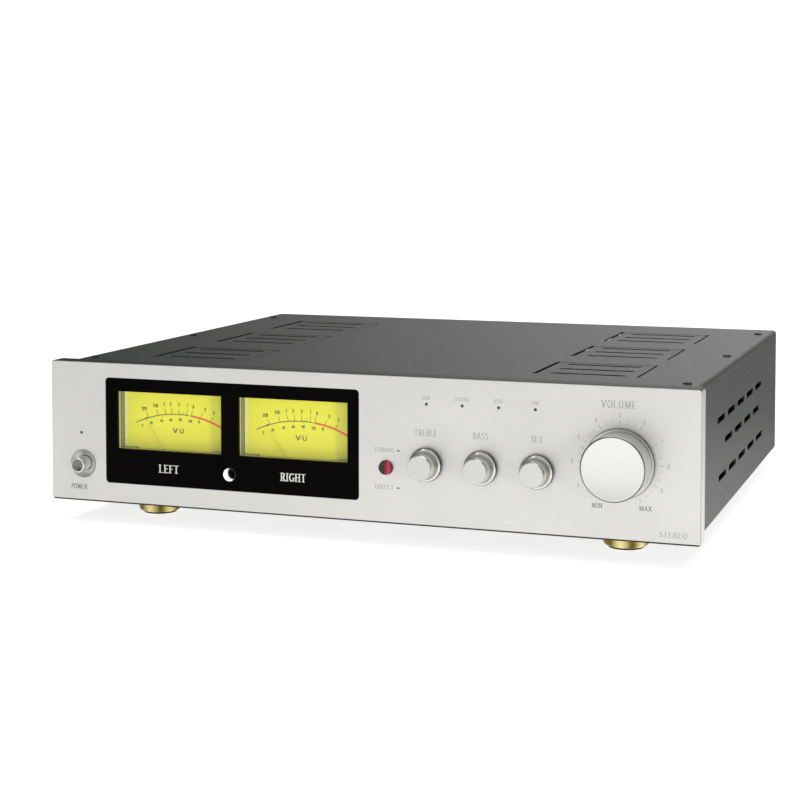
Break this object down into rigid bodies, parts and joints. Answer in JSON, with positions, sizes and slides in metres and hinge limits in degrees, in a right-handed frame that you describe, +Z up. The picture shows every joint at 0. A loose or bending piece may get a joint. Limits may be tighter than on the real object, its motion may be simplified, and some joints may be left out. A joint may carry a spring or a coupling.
{
  "type": "stereo power amplifier",
  "caption": "Full-width stereo power amplifier with a silver faceplate, twin swinging-needle level meters, turning knobs, push buttons, vented cover and rear sockets.",
  "frame": {"origin": "middle of the footprint, on the surface that the feet stand on", "axes": "+Z up, front faceplate towards -Y, +X to the right as seen from the front"},
  "size_m": [0.43, 0.407, 0.1063],
  "materials": {
    "black_steel": "fine satin powder coat",
    "plated_steel": "zinc plated",
    "faceplate": "fine blasted, silver anodised",
    "black_gloss": "high gloss",
    "clear_pane": "clear",
    "meter_case": "translucent yellow",
    "dial": "printed, lit from behind",
    "needle": "painted",
    "magnet": "bare",
    "circuit_board": "solder resist",
    "knob": "satin turned",
    "bright_knob": "polished",
    "red_button": "gloss",
    "black_plastic": "moulded",
    "lamp": "smoked lens",
    "chrome": "polished",
    "winding": "wound and taped",
    "rubber": "matt",
    "capacitor": "sleeved",
    "bare_aluminium": "extruded",
    "gold": "gold lacquer, polished",
    "red_cap": "moulded",
    "black_cap": "moulded"
  },
  "bodies": {
    "chassis": {"chassis_tray": "black_steel", "sub_front_plate": "plated_steel", "front_panel": "faceplate", "rear_panel": "black_steel", "top_cover": "black_steel", "cover_screws": "black_steel", "machine_screws": "plated_steel", "meter_bezel": "black_gloss", "meter_windows": "clear_pane", "meter_housing_left": "meter_case", "meter_housing_right": "meter_case", "meter_dial_left": "dial", "meter_dial_right": "dial", "meter_movements": "magnet", "meter_lamp_board": "circuit_board", "tone_pots": "plated_steel", "selector_switch": "plated_steel", "volume_pot": "plated_steel", "control_nuts": "plated_steel", "power_switch": "black_plastic", "tone_switch": "black_plastic", "headphone_ring": "chrome", "headphone_jack": "black_plastic", "indicator_leds": "lamp", "tone_board": "circuit_board", "transformer": "winding", "transformer_pads": "rubber", "transformer_clamp": "plated_steel", "board_standoffs": "plated_steel", "main_board": "circuit_board", "filter_capacitors": "capacitor", "heatsink": "bare_aluminium", "output_transistors": "black_plastic", "iec_inlet": "black_plastic", "inlet_pins": "chrome", "rca_block": "black_plastic", "rca_sleeves": "gold", "post_collars": "black_plastic", "speaker_posts": "gold", "foot_shells": "gold", "foot_bases": "black_plastic", "foot_pads": "rubber", "foot_screws": "plated_steel"},
    "needle_left": {"meter_needle_left": "needle"},
    "needle_right": {"meter_needle_right": "needle"},
    "power": {"power_button": "bright_knob"},
    "tone": {"tone_button": "red_button"},
    "treble": {"treble_knob": "bright_knob", "treble_shaft": "plated_steel"},
    "bass": {"bass_knob": "bright_knob", "bass_shaft": "plated_steel"},
    "selector": {"selector_knob": "bright_knob", "selector_shaft": "plated_steel"},
    "volume": {"volume_knob": "knob", "volume_shaft": "plated_steel"},
    "fuse": {"fuse_drawer": "black_plastic"},
    "cap_1": {"post_cap_1": "red_cap"},
    "cap_2": {"post_cap_2": "black_cap"},
    "cap_3": {"post_cap_3": "red_cap"},
    "cap_4": {"post_cap_4": "black_cap"}
  },
  "joints": [
    {"name": "needle_left_swing", "type": "hinge", "parent": "chassis", "child": "needle_left", "pos_m": [-0.12795, -0.1737, 0.0395], "axis": [0, 1, 0], "range_deg": [0, 74], "stiffness_Nm_per_rad": 0.00002, "springref_deg": -20.05},
    {"name": "needle_right_swing", "type": "hinge", "parent": "chassis", "child": "needle_right", "pos_m": [-0.0414, -0.1737, 0.0395], "axis": [0, 1, 0], "range_deg": [0, 74], "stiffness_Nm_per_rad": 0.00002, "springref_deg": -20.05},
    {"name": "power_press", "type": "slide", "parent": "chassis", "child": "power", "axis": [0, 1, 0], "range_m": [0, 0.004], "stiffness_N_per_m": 250},
    {"name": "tone_press", "type": "slide", "parent": "chassis", "child": "tone", "axis": [0, 1, 0], "range_m": [0, 0.0018], "stiffness_N_per_m": 300},
    {"name": "treble_turn", "type": "hinge", "parent": "chassis", "child": "treble", "pos_m": [0.0465, -0.1825, 0.0524], "axis": [0, 1, 0], "range_deg": [-150, 150]},
    {"name": "bass_turn", "type": "hinge", "parent": "chassis", "child": "bass", "pos_m": [0.0816, -0.1825, 0.0524], "axis": [0, 1, 0], "range_deg": [-150, 150]},
    {"name": "selector_turn", "type": "hinge", "parent": "chassis", "child": "selector", "pos_m": [0.1167, -0.1825, 0.0524], "axis": [0, 1, 0], "continuous": true},
    {"name": "volume_turn", "type": "hinge", "parent": "chassis", "child": "volume", "pos_m": [0.167, -0.1825, 0.0602], "axis": [0, 1, 0], "range_deg": [-150, 150]},
    {"name": "fuse_pull", "type": "slide", "parent": "chassis", "child": "fuse", "axis": [0, 1, 0], "range_m": [0, 0.018]},
    {"name": "cap_1_turn", "type": "hinge", "parent": "chassis", "child": "cap_1", "pos_m": [0.066, 0.1925, 0.054], "axis": [0, 1, 0], "range_deg": [0, 720]},
    {"name": "cap_2_turn", "type": "hinge", "parent": "chassis", "child": "cap_2", "pos_m": [0.096, 0.1925, 0.054], "axis": [0, 1, 0], "range_deg": [0, 720]},
    {"name": "cap_3_turn", "type": "hinge", "parent": "chassis", "child": "cap_3", "pos_m": [0.14, 0.1925, 0.054], "axis": [0, 1, 0], "range_deg": [0, 720]},
    {"name": "cap_4_turn", "type": "hinge", "parent": "chassis", "child": "cap_4", "pos_m": [0.17, 0.1925, 0.054], "axis": [0, 1, 0], "range_deg": [0, 720]}
  ]
}
